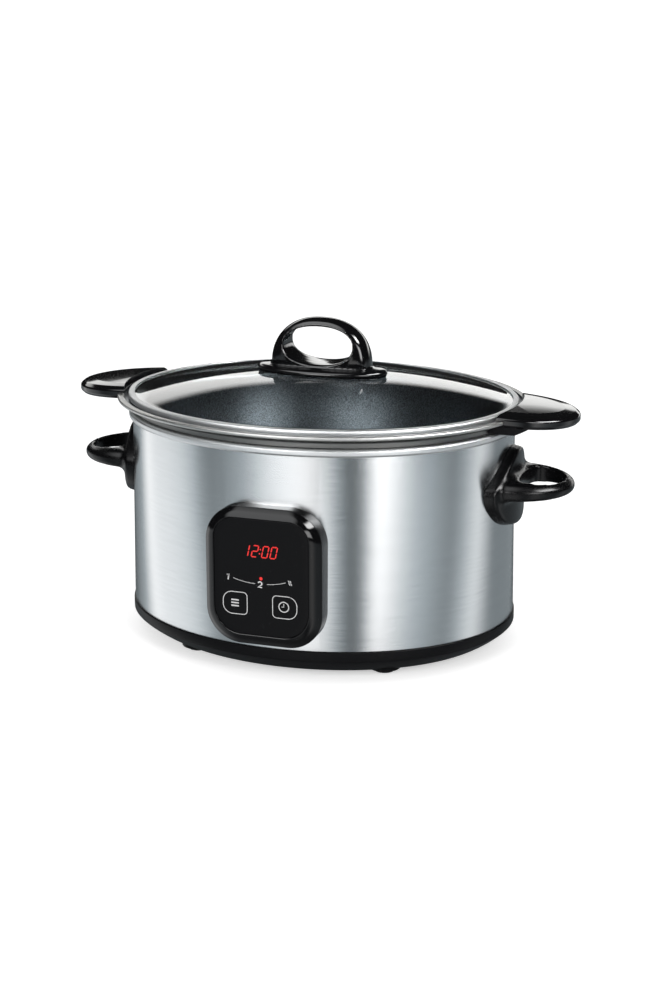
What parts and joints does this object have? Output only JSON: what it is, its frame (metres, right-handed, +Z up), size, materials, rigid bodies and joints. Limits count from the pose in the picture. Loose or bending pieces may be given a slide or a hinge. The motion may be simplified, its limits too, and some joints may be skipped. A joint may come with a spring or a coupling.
{
  "type": "oval slow cooker",
  "caption": "Oval electric slow cooker with a steel housing, a lift-out cooking pot with side grips, a domed glass lid with a loop handle, and a touch panel on the front.",
  "frame": {"origin": "on the table, under the middle of the whole cooker", "axes": "+X along the long axis of the oval towards the right-hand handle as seen from the front, +Y to the back, +Z up; the control panel faces -Y"},
  "size_m": [0.45, 0.306, 0.2796],
  "materials": {
    "housing_steel": "satin steel, brushed round the housing",
    "polished_steel": "polished stainless steel",
    "plated_steel": "zinc plated steel",
    "pot_aluminium": "cast aluminium with a speckled dark non-stick coating, bare brushed at the flange",
    "gloss_black": "gloss black plastic",
    "facia_black": "flat gloss black facia with printed grey keys",
    "base_plastic": "satin black plastic",
    "foot_rubber": "black rubber",
    "seal_silicone": "dark silicone",
    "lid_glass": "clear tempered glass",
    "heater_mica": "mica sheet heater",
    "circuit_board": "green circuit board",
    "component_black": "moulded dark component"
  },
  "bodies": {
    "housing": {"base_tray": "base_plastic", "foot_pad_front_right": "foot_rubber", "foot_pad_front_left": "foot_rubber", "foot_pad_rear_right": "foot_rubber", "foot_pad_rear_left": "foot_rubber", "cord_gland": "foot_rubber", "outer_wrap": "housing_steel", "heating_well": "polished_steel", "heater_band": "heater_mica", "heater_clamp": "plated_steel", "heat_shield": "plated_steel", "standoff_front_right": "plated_steel", "standoff_front_left": "plated_steel", "standoff_rear_right": "plated_steel", "standoff_rear_left": "plated_steel", "base_screw_front_right": "plated_steel", "base_screw_front_left": "plated_steel", "base_screw_rear_right": "plated_steel", "base_screw_rear_left": "plated_steel", "temperature_sensor": "plated_steel", "sensor_clip": "plated_steel", "thermal_fuse": "component_black", "power_board": "circuit_board", "power_relay": "component_black", "terminal_block": "component_black", "panel_bezel": "gloss_black", "panel_facia": "facia_black", "display_module": "component_black", "touch_pad_right": "seal_silicone", "touch_pad_left": "seal_silicone", "control_board": "circuit_board", "panel_back_cover": "base_plastic", "panel_screw_upper_right": "plated_steel", "panel_screw_upper_left": "plated_steel", "panel_screw_lower_right": "plated_steel", "panel_screw_lower_left": "plated_steel", "side_handle_right": "gloss_black", "side_handle_left": "gloss_black", "side_handle_screw_right_upper": "plated_steel", "side_handle_screw_right_lower": "plated_steel", "side_handle_screw_left_upper": "plated_steel", "side_handle_screw_left_lower": "plated_steel"},
    "pot": {"cooking_pot": "pot_aluminium", "pot_grip_right": "gloss_black", "pot_grip_left": "gloss_black", "grip_clamp_right": "base_plastic", "grip_clamp_left": "base_plastic", "grip_screw_right_front": "plated_steel", "grip_screw_right_rear": "plated_steel", "grip_screw_left_front": "plated_steel", "grip_screw_left_rear": "plated_steel"},
    "lid": {"lid_glass": "lid_glass", "lid_rim": "polished_steel", "lid_handle": "gloss_black", "lid_handle_seal": "seal_silicone", "lid_inner_plate": "polished_steel", "lid_screw_right": "polished_steel", "lid_screw_left": "polished_steel"}
  },
  "joints": [
    {"name": "pot_lift", "type": "slide", "parent": "housing", "child": "pot", "axis": [0, 0, 1], "range_m": [0, 0.16]},
    {"name": "lid_lift", "type": "slide", "parent": "pot", "child": "lid", "axis": [0, 0, 1], "range_m": [0, 0.12]}
  ]
}
